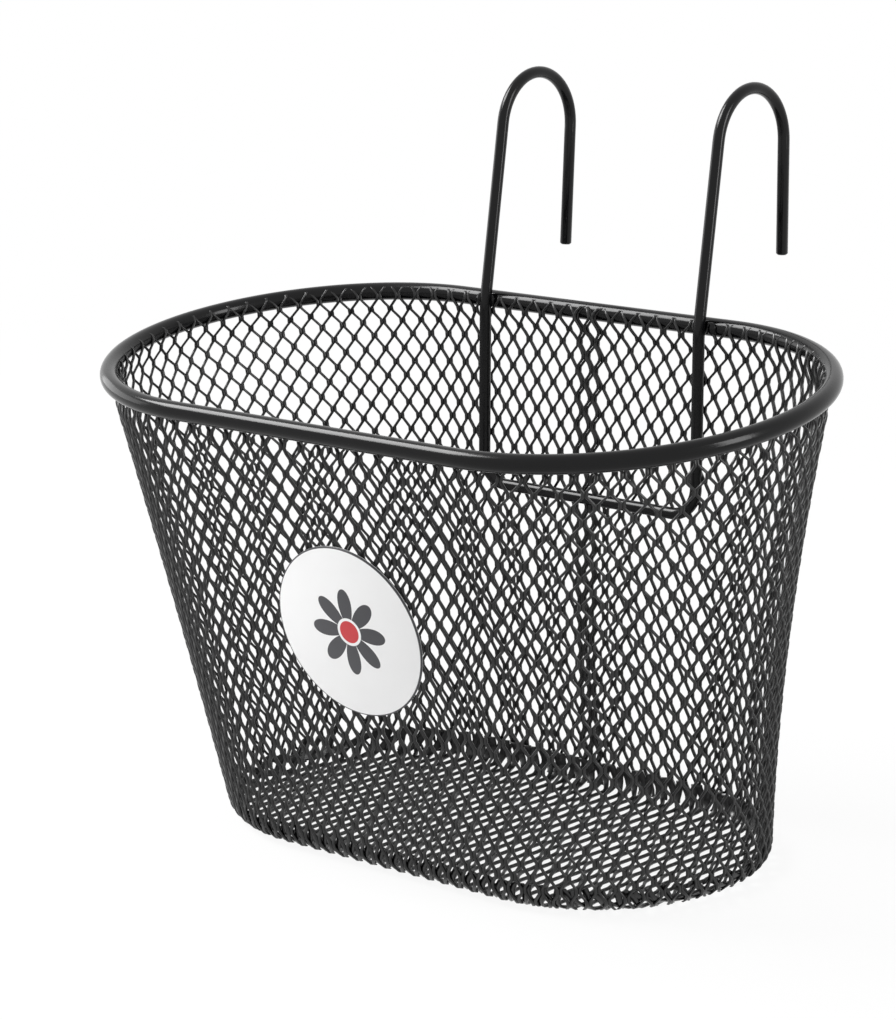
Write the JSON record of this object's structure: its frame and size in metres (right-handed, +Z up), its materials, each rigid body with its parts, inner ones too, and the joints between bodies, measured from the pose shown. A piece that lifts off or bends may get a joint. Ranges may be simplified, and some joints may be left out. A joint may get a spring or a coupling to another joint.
{
  "type": "handlebar basket",
  "caption": "Oval tapered basket of black expanded steel mesh with a rolled rim, hung on a handlebar by a bent double wire hook.",
  "frame": {"origin": "on the underside of the floor, below the middle of the rim", "axes": "+X along the basket's long side, to the right as seen from the front; -Y is the front, with the badge; +Y is the back, with the hooks; +Z up"},
  "size_m": [0.25, 0.1823, 0.2306],
  "materials": {
    "black_coat": "gloss powder coat",
    "badge_white": "smooth gloss"
  },
  "bodies": {
    "root": {"rim_hoop": "black_coat", "wall_mesh": "black_coat", "floor_mesh": "black_coat", "hook_wire": "black_coat", "hook_welds": "black_coat", "badge": "badge_white"}
  },
  "joints": []
}
